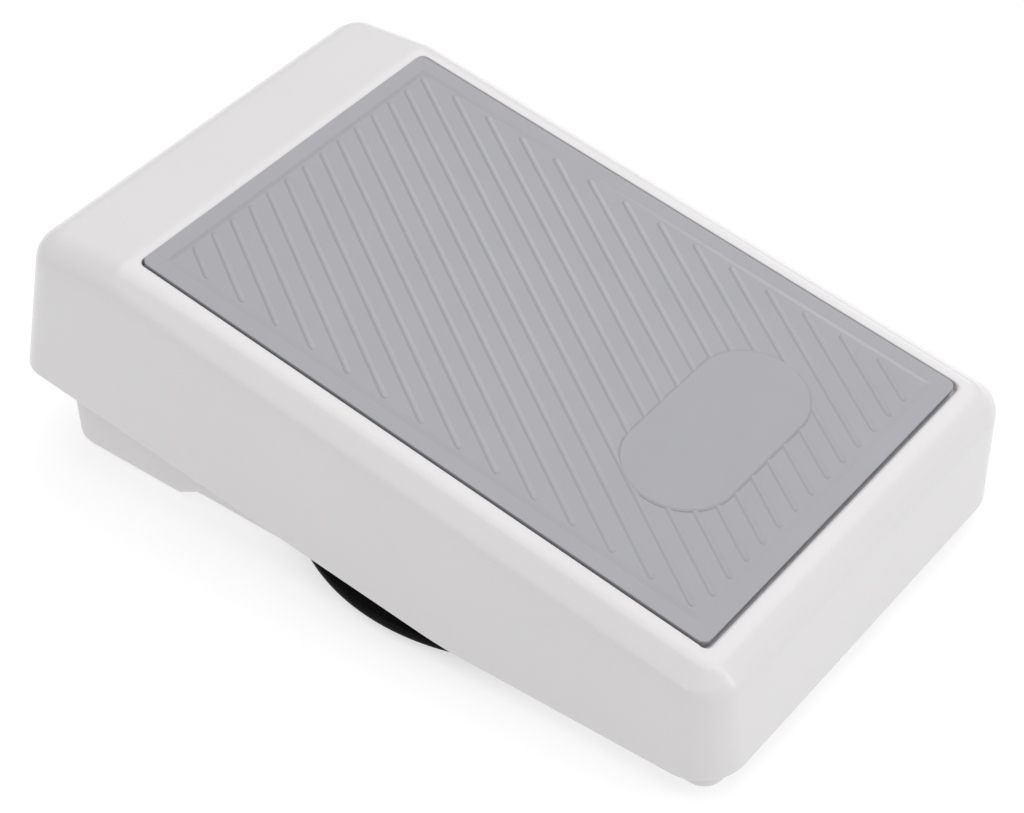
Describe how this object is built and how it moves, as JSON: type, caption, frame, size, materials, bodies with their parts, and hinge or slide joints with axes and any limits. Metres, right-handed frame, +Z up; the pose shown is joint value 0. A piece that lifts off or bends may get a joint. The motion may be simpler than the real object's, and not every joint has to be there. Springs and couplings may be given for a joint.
{
  "type": "sewing machine foot pedal",
  "caption": "Low wedge-shaped foot pedal with a rocking white cover, a ridged grey tread pad and a black cord reel under its base tray.",
  "frame": {"origin": "on the floor, under the middle of the pedal's plan box", "axes": "+X across the pedal to the right, +Y towards the toe end, +Z up"},
  "size_m": [0.119, 0.2021, 0.0679],
  "materials": {
    "cover_plastic": "satin moulded white",
    "tray_plastic": "fine moulded white",
    "pad_rubber": "satin moulded grey",
    "rubber": "matt black",
    "black_plastic": "satin black",
    "brown_plastic": "moulded phenolic",
    "ivory_plastic": "natural acetal",
    "wire_red": "red wire sleeve",
    "board": "green lacquered board",
    "steel": "zinc-plated",
    "magnet": "nickel-plated",
    "carbon": "pressed carbon",
    "brass": "bright"
  },
  "bodies": {
    "base": {"base_tray": "tray_plastic", "rubber_feet": "rubber", "reel_spindle": "steel", "spindle_washer": "steel", "spindle_screw": "steel", "brush_block": "brown_plastic", "brushes": "carbon", "brush_screws": "steel", "cord_outlet": "rubber", "control_board": "board", "board_screws": "steel", "hall_sensor": "black_plastic", "signal_chip": "black_plastic", "board_connector": "ivory_plastic", "lead_wires": "wire_red", "plunger_guide": "ivory_plastic", "guide_screws": "steel", "plunger_spring": "steel", "heel_bumpers": "rubber", "toe_bumpers": "rubber", "return_spring_left": "steel", "return_spring_right": "steel", "hinge_axle": "steel", "axle_clips": "steel"},
    "treadle": {"top_cover": "cover_plastic", "tread_pad": "pad_rubber", "axle_bushes": "ivory_plastic"},
    "plunger": {"plunger": "black_plastic", "plunger_magnet": "magnet"},
    "reel": {"reel_flange": "black_plastic", "reel_drum": "black_plastic", "upper_flange": "black_plastic", "reel_screws": "steel", "slip_rings": "brass"}
  },
  "joints": [
    {"name": "treadle_tilt", "type": "hinge", "parent": "base", "child": "treadle", "pos_m": [0, -0.02771, 0.027], "axis": [-1, 0, 0], "range_deg": [0, 7.5], "stiffness_Nm_per_rad": 14, "springref_deg": -6.88, "deforming": ["return_spring_left", "return_spring_right", "plunger_spring"]},
    {"name": "plunger_slide", "type": "slide", "parent": "base", "child": "plunger", "axis": [0, 0, -1], "range_m": [0, 0.0116], "deforming": ["plunger_spring"]},
    {"name": "reel_turn", "type": "hinge", "parent": "base", "child": "reel", "pos_m": [0, -0.01091, 0.004], "axis": [0, 0, 1], "continuous": true}
  ],
  "couplings": [
    {"joint": "plunger_slide", "follows": "treadle_tilt", "m_per_rad": 0.0875}
  ]
}
